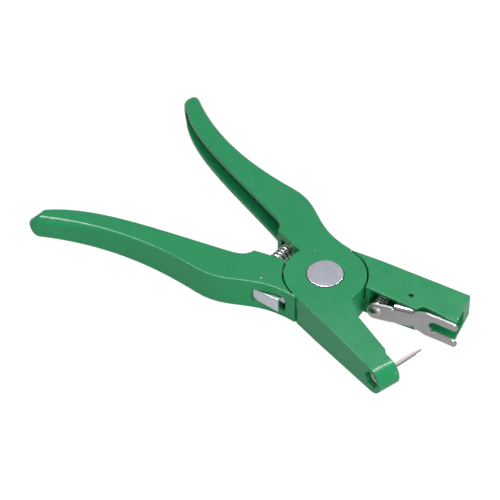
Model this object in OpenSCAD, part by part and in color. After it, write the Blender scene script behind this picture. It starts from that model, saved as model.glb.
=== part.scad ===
// Ear tag pliers: two die-cast levers, half-lapped on a pivot. One jaw carries a sprung fork clip
// for the female tag, the other a stepped pin for the male tag. Sizes are in millimetres.
// The pivot axis is Z and the underside of the hub lies on Z = 0. The handles point along -X and
// the jaws along +X, either side of the X axis. The pliers are open, as the main spring leaves them.

/* [Hub] */
// Thickness of both levers at the hub
body_t = 20; // [18:0.5:24]
// Radius of the half-lapped hub discs
hub_r = 23; // [21:0.5:26]
// Clearance round each hub disc
hub_gap = 1; // [0.5:0.1:1.4]
// Clearance between the two lapped halves
lap_gap = 0.2; // [0.1:0.05:0.5]
// Metal left outside the hub clearance at the neck of a handle
neck_rim = 0.8; // [0.5:0.1:2]
// Gap at the stop where a neck meets the other lever's jaw
stop_gap = 0.9; // [0.5:0.1:1.5]

/* [Pivot] */
// Radius of the pivot's two flat heads
cap_r = 10.25; // [9:0.25:13]
// Thickness of the flat heads
cap_t = 2.6; // [2:0.1:4]
// Ring gap round a flat head
cap_gap = 0.4; // [0.2:0.1:0.8]
// Height of the upper head above the lever
cap_proud = 0.4; // [0:0.1:1]
// Radius of the pivot barrel
barrel_r = 6; // [4.5:0.25:7.5]
// Running clearance round the barrel
barrel_fit = 0.05; // [0.02:0.01:0.1]
// Radius of the screw inside the barrel
screw_r = 3; // [2:0.25:4]
// Thickness of the washer under the screw's head
washer_t = 0.8; // [0.5:0.1:1.5]
// Radius of the two spanner holes in the screw's head
spanner_r = 1; // [0.75:0.25:1.5]

/* [Handles] */
// Reach of the handles behind the pivot
handle_reach = 158; // [140:0.5:180]
// Distance of the back of a handle from the X axis, near its end
handle_spread = 69.7; // [58:0.5:76]
// Where the back of a handle swells most, behind the pivot
hump_x = 58; // [52:1:66]
// Distance of that swell from the X axis
hump_y = 42.5; // [38:0.5:48]
// Thickness of a handle at its end
end_t = 15.5; // [12:0.5:18]
// Width of a handle at its end
end_w = 9.8; // [7:0.2:12]
// Angle by which the end of a handle leans towards its inner side
end_skew = 17; // [5:1:22]
// Radius of the rounded handle end
end_r = 6; // [3:0.5:7]
// Radius along the back edges at the hub
edge_r = 0.9; // [0.6:0.1:2]
// Radius along the back edges at the handle end
end_edge_r = 5; // [2:0.25:6]
// Thickness of the back wall of a handle
web_t = 4; // [2.5:0.25:6]
// Thickness of the two side walls of a handle
flange_t = 2.8; // [2:0.1:4]
// Slope of the side walls of a handle towards its open edge
side_draft = 0.05; // [0:0.01:0.1]
// Angle by which each spring pocket's lip clears the other when the jaws are parallel
lip_play = 0.7; // [0.5:0.1:2]
// Where the lips end, behind the pivot
lip_x = 42.5; // [41:0.5:46]

/* [Main spring] */
// Distance of the spring's axis behind the pivot
spring_x = 34; // [31:0.5:37]
// Radius of the coil, to the middle of the wire
spring_r = 3.3; // [3:0.1:4.5]
// Diameter of the spring wire
spring_wire = 1.6; // [0.8:0.1:1.6]
// Number of coils
spring_turns = 17; // [8:1:20]
// Distance of each spring seat from the X axis
seat_y = 22; // [16:0.5:26]
// Clearance round the spring in its pockets
pocket_gap = 1.2; // [0.8:0.1:2]
// Length of the peg inside each end of the spring
peg_len = 5; // [3:0.5:8]
// Clearance of the peg inside the coil
peg_gap = 0.7; // [0.4:0.1:1.2]

/* [Jaws] */
// Half of the angle between the open jaws
jaw_angle = 13; // [11:0.5:14]
// Distance of the applicator pin from the pivot
pin_reach = 69.5; // [62:0.5:80]
// Jaw metal beyond the pin, on the clip jaw
jaw_over = 8.6; // [5:0.2:10]
// Thickness of the clip jaw at its end
jaw_end_t = 14.5; // [12:0.5:18]
// Thickness of the side walls of the jaws
jaw_wall = 1.6; // [1.4:0.1:4]
// Thickness of the clip jaw's back, behind its hollow
jaw_back_t = 9.4; // [3:0.1:10]
// Thickness of the pin jaw's back, behind its hollow
pin_back_t = 3.5; // [2.5:0.1:5]
// Distance of the hollow in each jaw from the pivot
hollow_u = 26.5; // [26:0.5:31]
// Radius of the corners at the back of the clip jaw's hollow
hollow_r = 2.2; // [0.8:0.2:3]
// Inner edge of the clip jaw, off the line through the pivot
jaw_in = 1.4; // [0.5:0.1:3]
// Depth of the relief in the clip jaw's inner edge
scoop_d = 3.6; // [1.5:0.1:6]
// Thickness of the pin jaw at its nose
nose_t = 16.5; // [14:0.5:19]
// Inner face of the nose, off the line through the pivot
nose_in = 10.2; // [9.4:0.2:13]
// Inner edge of the pin jaw behind the nose, off the same line
pin_jaw_in = 8.4; // [7:0.2:9.2]

/* [Applicator pin] */
// Radius of the pin
pin_r = 1.45; // [1:0.05:2]
// Length of the pin outside the nose, as far as the step
pin_len = 18; // [14:0.5:24]
// Radius of the thin tip
tip_r = 0.75; // [0.5:0.05:1.2]
// Length of the thin tip
tip_len = 4.5; // [2:0.5:8]
// Radius of the pin's shank in the nose
shank_r = 2.5; // [2:0.1:3]
// Width across flats of the nut
nut_af = 9; // [8:0.5:11]
// Thickness of the nut
nut_t = 4; // [3:0.25:5]
// Depth of the nut below the side of the jaw
nut_sink = 3; // [0.5:0.1:4]
// Angle by which the pin leans towards the hub
pin_lean = 2.5; // [0:0.5:4]
// Clearance round the nut and the shank
nut_fit = 0.25; // [0.1:0.05:0.4]

/* [Clip] */
// Thickness of the clip's sheet steel
sheet_t = 1.2; // [0.8:0.1:1.6]
// Distance of the clip's hinge pin behind the applicator pin, along the jaw
hinge_back = 21.1; // [19:0.1:24]
// Distance of the hinge pin from the line through the pivot
hinge_v = 7.8; // [6:0.2:10]
// Radius of the hinge pin
hinge_r = 1.45; // [1:0.05:2]
// Running clearance of the clip on its hinge pin
hinge_fit = 0.07; // [0.03:0.01:0.1]
// Depth of the clip hinge pin's ends below the jaw's faces
hinge_sink = 0.7; // [0.3:0.1:1]
// Distance of the rear rivet from the pivot, along the jaw
rivet_u = 32.8; // [32:0.2:34]
// Stand-off of the clip's rear end from the line through the pivot
rear_off = 5.4; // [4:0.2:7]
// Stand-off of the clip where it bends
bend_off = 0.8; // [0.4:0.1:2]
// Stand-off of the fork's tips
tip_off = 2.3; // [1.5:0.1:4.5]
// Clearance of the hinge ears inside the jaw, above and below
ear_gap = 0.3; // [0.2:0.1:1]
// Height by which the clip's rear is lower than its ears
rear_drop = 2.2; // [0:0.2:3]
// Height of the fork
fork_h = 16.6; // [14:0.2:20]
// Height of the fork's slot
slot_h = 7.4; // [6:0.2:10]
// Length of the hinge ears along the jaw
ear_len = 11; // [8:0.5:13]
// Radius of the rivet's domed head
dome_r = 4; // [3:0.25:5]
// Height of the domed head
dome_h = 2.2; // [1:0.1:3]
// Radius of the rivet's shank
rivet_r = 1.7; // [1:0.1:2]
// Radius of the clip spring's coil, to the middle of the wire
clip_coil_r = 3; // [2.6:0.1:3.6]
// Diameter of the clip spring's wire
clip_wire = 0.8; // [0.5:0.1:1]
// Number of coils in the clip spring
clip_turns = 9; // [5:1:12]

/* [Latch] */
// Distance of the latch pin behind the pivot
latch_x = 25.5; // [23:0.25:26.5]
// Distance of the latch pin outside the hub's radius
latch_out = 1.4; // [1:0.1:3]
// Radius of the latch pin
latch_pin_r = 1.1; // [0.8:0.05:1.4]
// Depth of the latch pin's ends below the handle's faces
latch_pin_sink = 0.5; // [0.1:0.1:1.2]
// Running clearance of the latch on its pin
latch_fit = 0.06; // [0.03:0.01:0.1]
// Height of the latch at its pin end
latch_low_h = 7.4; // [5:0.2:8]
// Height of the latch at its thumb end
latch_high_h = 9.4; // [8:0.2:11]
// Clearance round the latch in its slot
latch_gap = 0.4; // [0.2:0.05:0.6]
// Distance of the slot's front end behind the pivot
slot_x = 7.6; // [7:0.2:9]
// Height of the latch's thumb end above the back of the handle
thumb_off = 2.8; // [1:0.1:3.5]
// Space between the hook and the hub, which the latch can travel
hook_gap = 1.6; // [1.2:0.1:2]
// Radius of the latch spring's coil, to the middle of the wire
latch_coil_r = 1.3; // [1:0.1:1.6]
// Diameter of the latch spring's wire
latch_wire = 0.4; // [0.3:0.05:0.5]
// Number of coils in the latch spring
latch_turns = 5; // [3:1:6]

/* [Hidden] */
$fn = 96;
eps = 0.01;
seat_gap = 0.05;
half = body_t / 2;
clear_r = hub_r + hub_gap;
jaw_back = hub_r + hub_gap / 2;
neck_y = clear_r + neck_rim;
neck_x = stop_gap - clear_r * cos(90 + jaw_angle - acos(jaw_back / clear_r));
close_angle = 2 * jaw_angle;
lip_angle = jaw_angle + lip_play;
hinge_u = pin_reach - hinge_back;
latch_y = hub_r + latch_out;

// Cubic curve through four control points.
function bez(p, t) = pow(1 - t, 3) * p[0] + 3 * t * pow(1 - t, 2) * p[1]
    + 3 * t * t * (1 - t) * p[2] + pow(t, 3) * p[3];
function curve(p, n, from = 0) = [for (i = [from:n]) bez(p, i / n)];

// Handle curves are drawn with X behind the pivot and Y away from the middle of the pliers.
stem_x = handle_reach - end_r;
end_rise = 20.2;
back_near = [[neck_x, neck_y], [neck_x + 29.5, neck_y], [hump_x - 23.5, hump_y], [hump_x, hump_y]];
back_far = [[hump_x, hump_y], [hump_x + 33, hump_y],
    [stem_x - 30, handle_spread - end_rise], [stem_x, handle_spread]];
end_angle = atan2(end_rise, 30);
end_way = [cos(end_angle), sin(end_angle)];
end_side = [-sin(end_angle), cos(end_angle)];
end_lean = end_angle / 2;
grip_start = [lip_x + 11, (lip_x + 11) * tan(lip_angle) + 6.4];
grip_end = back_far[3] + end_w * [sin(end_lean), -cos(end_lean)];
lip_end = [lip_x, lip_x * tan(lip_angle)];
bump = [lip_end, lip_end + [0.5, 4.8], grip_start - [7, 1.7], grip_start];
grip = [grip_start, grip_start + [45.5, 13.6], grip_end - [19.2, 20], grip_end];

function back_at(s) = s <= 1 ? bez(back_near, s) : bez(back_far, s - 1);
// Place along the back curve that lies x behind the pivot, found by halving.
function back_s(x, a = 0, b = 2, n = 24) =
    n == 0 ? (a + b) / 2
    : back_at((a + b) / 2)[0] < x ? back_s(x, (a + b) / 2, b, n - 1)
    : back_s(x, a, (a + b) / 2, n - 1);
function back_y(x) = back_at(back_s(x))[1];

// Thickness and edge radius of a handle, x behind the pivot.
function thick(x) = let (t = max(0, x - hub_r) / (stem_x - hub_r))
    body_t - (body_t - end_t) * (t < 0.3 ? t * t / 0.6 : t - 0.15) / 0.85;
function back_r(x) = edge_r + (end_edge_r - edge_r) * pow(max(0, x - hump_x) / (stem_x - hump_x), 2);

// Lean of a handle's sections: square to X as far as the swell, then turning with the handle.
function lean(x) = tan(end_lean) * min(1, max(0, x - hump_x) / (stem_x - hump_x));
function draft(x) = let (t = min(1, max(0, x - hub_r) / (hump_x - hub_r))) side_draft * t * t * (3 - 2 * t);

// Lean of the sections round a handle's end, a degrees round it.
function end_turn(a) = tan(end_lean) - (tan(end_lean) + tan(end_skew)) * a / 84;

// One section of a handle: flat sides, and a back with rounded edges. p is [x, y of back, height, radius].
arc_n = 6;
function section(p, inner, turn = undef) = let (
        k = is_undef(turn) ? lean(p[0]) : turn,
        z0 = half - p[2] / 2, z1 = half + p[2] / 2, r = min(p[3], p[2] / 2 - 0.2),
        dz = draft(p[0]) * (p[1] - r - inner))
    [for (q = concat([[inner, z0 + dz]],
            [for (i = [0:arc_n]) let (a = 90 * i / arc_n - 90) [p[1] - r + r * cos(a), z0 + r + r * sin(a)]],
            [for (i = [0:arc_n]) let (a = 90 * i / arc_n) [p[1] - r + r * cos(a), z1 - r + r * sin(a)]],
            [[inner, z1 - dz]]))
        [p[0] + k * (p[1] - q[0]), q[0], q[1]]];

// Solid carried through a list of closed sections with the same number of points.
module loft(rows) {
    n = len(rows);
    m = len(rows[0]);
    polyhedron(
        points = [for (row = rows) for (p = row) p],
        faces = concat(
            [for (i = [0:n - 2]) for (j = [0:m - 1]) let (k = (j + 1) % m)
                each [[i * m + j, (i + 1) * m + j, (i + 1) * m + k], [i * m + j, (i + 1) * m + k, i * m + k]]],
            [[for (j = [0:m - 1]) j]],
            [[for (j = [m - 1:-1:0]) (n - 1) * m + j]]));
}

// Outer form of a handle, from the neck to its rounded end.
module handle_solid() {
    stem = [for (i = [0:12]) i / 12, for (i = [1:18]) 1 + i / 18];
    loft(concat(
        [for (s = stem) let (p = back_at(s)) section([p[0], p[1], thick(p[0]), back_r(p[0])], 0)],
        [for (a = [10.5:10.5:84]) let (p = back_far[3] + end_r * (sin(a) * end_way - (1 - cos(a)) * end_side))
            section([p[0], p[1], end_t - 1.8 * end_r * (1 - cos(a)), end_edge_r], 0, end_turn(a))]));
}

// The channel inside a handle, open towards the other handle.
channel_x = lip_x + 4;
module handle_channel() {
    s0 = back_s(channel_x);
    n = 20;
    r_end = end_edge_r - flange_t + 1;
    loft(concat(
        [for (i = [0:n]) let (p = back_at(s0 + (2 - s0) * i / n))
            section([p[0], p[1] - web_t, thick(p[0]) - 2 * flange_t,
                max(1, back_r(p[0]) - flange_t + 1)], -1)],
        [for (a = [21:21:84])
            let (p = back_far[3] + 0.55 * end_r * (sin(a) * end_way - (1 - cos(a)) * end_side))
            section([p[0], p[1] - web_t, end_t - 2 * flange_t - end_r * (1 - cos(a)), r_end],
                -1, end_turn(a))]));
}

// All that lies inside the inner edge of a handle: the spring pocket's lip, the bump and the grip curve.
module inner_side() {
    translate([0, 0, -1])
        linear_extrude(body_t + 2)
            polygon(concat([[0, 0]], curve(bump, 6), curve(grip, 14, 1),
                [grip_end + 2 * end_r * end_way, grip_end + [90, 0], [grip_end[0] + 90, -5], [0, -5]]));
}

// Pocket and peg for one end of the main spring.
pocket_r = spring_r + spring_wire / 2 + pocket_gap;
module spring_pocket() {
    difference() {
        translate([spring_x - pocket_r, -2, half - pocket_r])
            cube([2 * pocket_r, seat_y + 2, 2 * pocket_r]);
        translate([spring_x, seat_y - peg_len, half])
            rotate([-90, 0, 0])
                cylinder(h = peg_len + 1, r = spring_r - spring_wire / 2 - peg_gap);
    }
}

// A lever without its jaw: handle, hub disc and bore. The hub is the upper half or the lower half.
module lever_handle() {
    rotate([0, 0, 180])
        difference() {
            handle_solid();
            handle_channel();
            inner_side();
            spring_pocket();
        }
}

// Room for the other lever's hub disc, above or below the half lap.
module hub_room(upper) {
    translate([0, 0, upper ? half - lap_gap / 2 : -1])
        cylinder(h = half + lap_gap / 2 + 1, r = clear_r);
}

module hub_disc(upper) {
    translate([0, 0, upper ? half + lap_gap / 2 : 0])
        cylinder(h = half - lap_gap / 2, r = hub_r);
}

module pivot_bore() {
    translate([0, 0, -1])
        cylinder(h = body_t + 2, r = barrel_r + barrel_fit);
}

// Wedge that thins a jaw from the hub to its end.
function taper(u, end_u, t) = (body_t - t) / 2 * max(0, u - hub_r) / (end_u - hub_r);
module jaw_taper(end_u, t, inset = 0) {
    far = end_u + 12;
    dz = taper(far, end_u, t);
    translate([0, 60, 0])
        rotate([90, 0, 0])
            linear_extrude(90)
                polygon([[-1, inset], [hub_r, inset], [far, dz + inset],
                    [far, body_t - dz - inset], [hub_r, body_t - inset], [-1, body_t - inset]]);
}

// Clip jaw, along +X with its back at +Y.
jaw_end = pin_reach + jaw_over;
module clip_jaw() {
    difference() {
        intersection() {
            linear_extrude(body_t)
                polygon([[0, jaw_in], [hub_r, jaw_in], [hinge_u + 6.4, 0],
                    [hinge_u + 8.8, scoop_d], [hinge_u + 12, scoop_d + 0.1], [jaw_end, jaw_in],
                    [jaw_end - 1.2, jaw_back], [0, jaw_back]]);
            jaw_taper(jaw_end, jaw_end_t);
        }
        clip_hollow();
        translate([hinge_u, hinge_v, -1])
            cylinder(h = body_t + 2, r = hinge_r + 0.02);
    }
}

hollow_back = jaw_back - jaw_back_t;
module hollow_slice(u) {
    h = half - taper(u, jaw_end, jaw_end_t) - jaw_wall;
    translate([u, 0, half])
        rotate([90, 0, 90])
            linear_extrude(0.01)
                hull()
                    for (side = [-1, 1]) {
                        translate([hollow_back - hollow_r, side * (h - hollow_r)])
                            circle(hollow_r, $fn = 24);
                        translate([-10, side * (h - 0.5)])
                            square(1, center = true);
                    }
}
module clip_hollow() {
    hull() {
        hollow_slice(hollow_u);
        hollow_slice(jaw_end + 1);
    }
}

// Pin jaw, along +X with its back at +Y, ending in a round nose about the pin.
module pin_jaw() {
    r = nose_t / 2;
    difference() {
        intersection() {
            linear_extrude(body_t)
                polygon([[0, 0], [hub_r - 1, 0], [hub_r + 6, 2.2], [hub_r + 13.5, 5.5],
                    [pin_reach - 6.5, pin_jaw_in], [pin_reach - 4.5, nose_in - 0.5], [pin_reach - 3, nose_in],
                    [pin_reach + r + 1, nose_in], [pin_reach + r + 1, jaw_back], [0, jaw_back]]);
            translate([0, 60, 0])
                rotate([90, 0, 0])
                    linear_extrude(90)
                        polygon(concat([[-1, 0], [hub_r, 0]],
                            [for (a = [-90:7.5:90]) [pin_reach + r * cos(a), half + r * sin(a)]],
                            [[hub_r, body_t], [-1, body_t]]));
        }
        pin_hollow();
        at_pin(jaw_back + 1)
            cylinder(h = jaw_back + 1, r = shank_r + 0.05);
        at_pin(jaw_back + 1)
            cylinder(h = nut_t + nut_sink + 1, r = (nut_af / 2 + nut_fit) / cos(30), $fn = 6);
    }
}

// Puts its child on the applicator pin's axis at distance v from the jaw's middle line, facing the tip.
module at_pin(v) {
    translate([pin_reach, nose_in, half])
        rotate([0, 0, -pin_lean])
            translate([0, v - nose_in, 0])
                rotate([90, 0, 0])
                    children();
}

module pin_hollow() {
    intersection() {
        translate([hollow_u - 0.3, -1, 0])
            cube([pin_reach - 9.2 - hollow_u, jaw_back - pin_back_t + 1, body_t]);
        jaw_taper(pin_reach, nose_t, jaw_wall);
    }
}

// Lever with the lower half of the hub, the clip jaw and the latch.
module clip_lever() {
    color([0.16, 0.55, 0.32])
        difference() {
            union() {
                lever_handle();
                hub_disc(false);
                rotate([0, 0, jaw_angle])
                    clip_jaw();
            }
            hub_room(true);
            pivot_bore();
            translate([0, 0, -1])
                cylinder(h = 1 + cap_t + washer_t, r = cap_r + cap_gap);
            rotate([0, 0, 180])
                latch_slot();
        }
}

// Lever with the upper half of the hub and the jaw that holds the applicator pin.
cap_z = body_t + cap_proud - cap_t;
module pin_lever() {
    color([0.16, 0.55, 0.32])
        difference() {
            mirror([0, 1, 0])
                union() {
                    lever_handle();
                    hub_disc(true);
                    rotate([0, 0, jaw_angle])
                        pin_jaw();
                }
            hub_room(false);
            pivot_bore();
            translate([0, 0, cap_z])
                cylinder(h = cap_t + 1, r = cap_r + cap_gap);
            rotate([0, 0, 180 - close_angle])
                hook_notch();
        }
}

// Pivot barrel with its flat head, in the top of the hub.
barrel_z = cap_t + washer_t;
module pivot_barrel() {
    color([0.75, 0.75, 0.78])
        difference() {
            union() {
                translate([0, 0, cap_z])
                    cylinder(h = cap_t, r = cap_r);
                translate([0, 0, barrel_z])
                    cylinder(h = cap_z - barrel_z + eps, r = barrel_r);
            }
            translate([0, 0, barrel_z - 1])
                cylinder(h = cap_z - barrel_z - 1, r = screw_r + barrel_fit);
        }
}

// Screw that closes the pivot from below, with two holes for a pin spanner.
module pivot_screw() {
    color([0.7, 0.7, 0.72])
        difference() {
            union() {
                cylinder(h = cap_t, r = cap_r);
                cylinder(h = cap_z - 4, r = screw_r);
            }
            for (s = [-1, 1])
                translate([s * (cap_r + screw_r) / 2, 0, -1])
                    cylinder(h = cap_t, r = spanner_r);
        }
}

module pivot_washer() {
    color([0.6, 0.6, 0.62])
        translate([0, 0, cap_t])
            difference() {
                cylinder(h = washer_t, r = cap_r - 0.5);
                translate([0, 0, -1])
                    cylinder(h = washer_t + 2, r = screw_r + 0.1);
            }
}

// Compression spring along +Z: one tube, whose two ends run straight along the axis for one wire diameter.
coil_rings = 8;
coil_sides = 6;
function coil_path(len, r, wire, turns) = let (n = turns * coil_rings, rise = len - 2 * wire)
    concat([[r, 0, 0]],
        [for (i = [0:n]) let (a = 360 * i / coil_rings) [r * cos(a), r * sin(a), wire + rise * i / n]],
        [[r * cos(360 * turns), r * sin(360 * turns), len]]);
function unit(v) = v / norm(v);
module coil_spring(len, r, wire, turns) {
    path = coil_path(len, r, wire, turns);
    n = len(path);
    gap = min([for (i = [0:n - 1]) for (j = [i + coil_rings - 2:1:min(n - 1, i + coil_rings + 2)])
        norm(path[i] - path[j])]) - wire;
    echo(str("least gap of a spring to itself: ", gap, " mm"));
    loft([for (i = [0:n - 1]) let (
            t = unit(path[min(i + 1, n - 1)] - path[max(i - 1, 0)]),
            out = unit([path[i][0], path[i][1], 0]),
            a = unit(out - (out * t) * t),
            b = cross(t, a))
        [for (k = [0:coil_sides - 1]) let (w = -360 * k / coil_sides)
            path[i] + wire / 2 * (cos(w) * a + sin(w) * b)]]);
}

// Spring that opens the levers, between the two pockets.
module main_spring() {
    color([0.72, 0.72, 0.75])
        translate([-spring_x, seat_gap - seat_y, half])
            rotate([-90, 0, 0])
                coil_spring(2 * (seat_y - seat_gap), spring_r, spring_wire, spring_turns);
}

// Latch, drawn like a handle with X behind the pivot and Y outward.
slot_end = latch_x + 2.2;
slot_floor = latch_y - 3;
thumb_x = slot_x + 2.6;
function latch_h(x) = latch_low_h + (latch_high_h - latch_low_h) * (slot_end - x) / (slot_end - thumb_x);
module latch_side(gap) {
    translate([0, 60, half])
        rotate([90, 0, 0])
            linear_extrude(60)
                polygon([for (s = [[slot_x - 5, -1], [slot_end + 5, -1], [slot_end + 5, 1], [slot_x - 5, 1]])
                    [s[0], s[1] * (latch_h(s[0]) / 2 + gap)]]);
}
spring_bore_x = 17;
spring_bore_y = sqrt(pow(clear_r, 2) - pow(spring_bore_x, 2)) + 1.8;
module latch_slot() {
    intersection() {
        translate([slot_x, slot_floor, 0])
            cube([slot_end - slot_x, 30, body_t]);
        latch_side(latch_gap);
    }
    translate([latch_x, latch_y, -1])
        cylinder(h = body_t + 2, r = latch_pin_r + 0.02);
    translate([spring_bore_x, spring_bore_y, half])
        rotate([-90, 0, 0])
            cylinder(h = slot_floor - spring_bore_y + 1, r = latch_coil_r + latch_wire / 2 + 0.4);
}

hook_x = slot_x + latch_gap + 0.4;
hook_y = sqrt(pow(hub_r + hook_gap, 2) - pow(hook_x, 2));
latch_back = latch_y - 0.2;
module latch_lever() {
    color([0.62, 0.62, 0.65])
        rotate([0, 0, 180])
            difference() {
                union() {
                    intersection() {
                        linear_extrude(body_t)
                            polygon([[slot_end - latch_gap, back_y(slot_end) - 1.6],
                                [thumb_x, back_y(thumb_x) + thumb_off], [thumb_x, latch_back],
                                [latch_x - 4, latch_back], [latch_x - 2.2, latch_y - 2.2],
                                [slot_end - latch_gap, latch_y - 2.2]]);
                        latch_side(0);
                    }
                    translate([0, 0, half + 0.6])
                        linear_extrude(latch_high_h / 2 - 1)
                            polygon([[hook_x, hook_y], [hook_x, back_y(hook_x) - 0.4],
                                [thumb_x + 2, back_y(thumb_x) - 0.4], [thumb_x + 2, hook_y]]);
                }
                translate([latch_x, latch_y, -1])
                    cylinder(h = body_t + 2, r = latch_pin_r + latch_fit);
            }
}

// Notch in the rim of the pin lever's hub, under the hook when the pliers are closed.
module hook_notch() {
    translate([hook_x - 0.5, hook_y - hook_gap - 1.2, half])
        cube([thumb_x + 3 - hook_x, 6, latch_high_h / 2 + 0.4]);
}

module latch_pin() {
    color([0.7, 0.7, 0.72])
        rotate([0, 0, 180])
            translate([latch_x, latch_y, half - thick(latch_x) / 2 + latch_pin_sink])
                cylinder(h = thick(latch_x) - 2 * latch_pin_sink, r = latch_pin_r);
}

module latch_spring() {
    color([0.72, 0.72, 0.75])
        rotate([0, 0, 180])
            translate([spring_bore_x, spring_bore_y + seat_gap, half])
                rotate([-90, 0, 0])
                    coil_spring(latch_back - spring_bore_y - 2 * seat_gap, latch_coil_r, latch_wire, latch_turns);
}

// Clip, drawn along the clip jaw. Its sheet runs through these points, seen from above.
ear_h = body_t - 2 * (taper(hinge_u + ear_len / 2, jaw_end, jaw_end_t) + jaw_wall + ear_gap);
rear_h = ear_h - rear_drop;
rear_u = rivet_u - dome_r - 0.4;
bend_u = hinge_u + 8.6;
tip_u = pin_reach + 11;
clip_line = [[rear_u, -rear_off], [bend_u, -bend_off], [pin_reach, -bend_off - 0.6], [tip_u, -tip_off]];
function clip_v(u) = lookup(u, clip_line);
clip_slope = atan2(rear_off - bend_off, bend_u - rear_u);

// Outline of the clip, seen from the side: round rear, narrow waist at the ears, and a fork.
module clip_outline() {
    r = min(4.6, rear_h / 2 - 0.2);
    fork_u = hinge_u + 11;
    prong = (fork_h - slot_h) / 4;
    prong_v = slot_h / 2 + prong;
    difference() {
        union() {
            for (s = [-1, 1]) {
                translate([rear_u + r, s * (rear_h / 2 - r)])
                    circle(r = r);
                translate([tip_u - prong, s * prong_v])
                    circle(r = prong);
            }
            polygon([[rear_u, -rear_h / 2 + r], [rear_u + r, -rear_h / 2], [hinge_u - ear_len / 2 - 1, -rear_h / 2],
                [hinge_u - ear_len / 2, -ear_h / 2], [hinge_u + ear_len / 2 + 2, -ear_h / 2],
                [fork_u + 2, -fork_h / 2], [tip_u - prong, -fork_h / 2], [tip_u - prong, fork_h / 2],
                [fork_u + 2, fork_h / 2], [hinge_u + ear_len / 2 + 2, ear_h / 2],
                [hinge_u - ear_len / 2, ear_h / 2], [hinge_u - ear_len / 2 - 1, rear_h / 2],
                [rear_u + r, rear_h / 2], [rear_u, rear_h / 2 - r]]);
        }
        translate([pin_reach - 2.5, 0])
            circle(r = slot_h / 2);
        translate([pin_reach - 2.5, -slot_h / 2])
            square([20, slot_h]);
    }
}

module clip_ear() {
    difference() {
        union() {
            linear_extrude(sheet_t)
                polygon([[hinge_u - ear_len / 2, clip_v(hinge_u - ear_len / 2) + sheet_t / 2],
                    [hinge_u + ear_len / 2, clip_v(hinge_u + ear_len / 2) + sheet_t / 2],
                    [hinge_u + 3.2, hinge_v + 2], [hinge_u - 3.2, hinge_v + 2]]);
            translate([hinge_u, hinge_v, 0])
                cylinder(h = sheet_t, r = 3.6);
        }
        translate([hinge_u, hinge_v, -1])
            cylinder(h = sheet_t + 2, r = hinge_r + hinge_fit);
    }
}

module clip_sheet() {
    intersection() {
        linear_extrude(body_t)
            polygon(concat(clip_line, [for (i = [len(clip_line) - 1:-1:0]) clip_line[i] + [0, sheet_t]]));
        translate([0, 20, half])
            rotate([90, 0, 0])
                linear_extrude(40)
                    clip_outline();
    }
}

// Places what is drawn along Z square to the rear of the clip, on its outer face.
module at_rivet() {
    translate([rivet_u, clip_v(rivet_u), half])
        rotate([0, 0, clip_slope])
            rotate([90, 0, 0])
                children();
}

module clip_plate() {
    color([0.78, 0.78, 0.8])
        rotate([0, 0, jaw_angle])
            difference() {
                union() {
                    clip_sheet();
                    translate([0, 0, half + ear_h / 2 - sheet_t])
                        clip_ear();
                    translate([0, 0, half - ear_h / 2])
                        clip_ear();
                }
                at_rivet()
                    translate([0, 0, -sheet_t - 1])
                        cylinder(h = sheet_t + 2, r = rivet_r + 0.02);
            }
}

module clip_hinge_pin() {
    dz = taper(hinge_u, jaw_end, jaw_end_t) + hinge_sink;
    color([0.5, 0.5, 0.52])
        rotate([0, 0, jaw_angle])
            translate([hinge_u, hinge_v, dz])
                cylinder(h = body_t - 2 * dz, r = hinge_r);
}

// Rivet with a domed head, square to the rear of the clip; its tail guides the clip spring.
tail_len = 3;
module clip_rivet() {
    ball = (dome_r * dome_r + dome_h * dome_h) / (2 * dome_h);
    color([0.78, 0.78, 0.8])
        rotate([0, 0, jaw_angle])
            at_rivet()
                union() {
                    intersection() {
                        translate([0, 0, dome_h - ball])
                            sphere(r = ball);
                        cylinder(h = dome_h + 1, r = dome_r + 1);
                    }
                    translate([0, 0, -sheet_t - tail_len])
                        cylinder(h = sheet_t + tail_len + 0.3, r = rivet_r);
                }
}

module clip_spring() {
    seat = clip_v(rivet_u) + sheet_t + 0.6;
    color([0.72, 0.72, 0.75])
        rotate([0, 0, jaw_angle])
            translate([rivet_u, seat, half])
                rotate([-90, 0, 0])
                    coil_spring(hollow_back - seat_gap - seat, clip_coil_r, clip_wire, clip_turns);
}

// Stepped pin that carries the male tag, screwed into the nose.
module applicator_pin() {
    back = jaw_back - nut_sink - 0.3;
    face = back - nose_in;
    color([0.75, 0.75, 0.78])
        mirror([0, 1, 0])
            rotate([0, 0, jaw_angle])
                at_pin(back)
                    rotate_extrude()
                        polygon([[0, 0], [shank_r, 0], [shank_r, face - 0.2], [pin_r, face + 0.6],
                            [pin_r, face + pin_len], [tip_r, face + pin_len + 0.6],
                            [tip_r, face + pin_len + tip_len - 0.5], [tip_r / 2, face + pin_len + tip_len],
                            [0, face + pin_len + tip_len]]);
}

module pin_nut() {
    color([0.66, 0.66, 0.7])
        mirror([0, 1, 0])
            rotate([0, 0, jaw_angle])
                at_pin(jaw_back - nut_sink)
                    difference() {
                        cylinder(h = nut_t, r = nut_af / 2 / cos(30), $fn = 6);
                        translate([0, 0, -1])
                            cylinder(h = nut_t + 2, r = shank_r + 0.05);
                    }
}

clip_lever();
pin_lever();
pivot_barrel();
pivot_screw();
pivot_washer();
main_spring();
latch_lever();
latch_pin();
latch_spring();
clip_plate();
clip_hinge_pin();
clip_rivet();
clip_spring();
applicator_pin();
pin_nut();
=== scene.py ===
"""Looks of a pair of ear tag pliers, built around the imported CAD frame.

Two painted levers turn on a flat-headed pivot. One jaw carries a sprung fork clip and the other a
stepped pin. Every length is in metres, in the frame of the CAD part: the pivot is the Z axis, the
jaws point along +X and the underside of the hub lies on Z = 0.
"""
import logging
import math
from dataclasses import dataclass
from enum import Enum
from typing import Sequence

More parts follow.
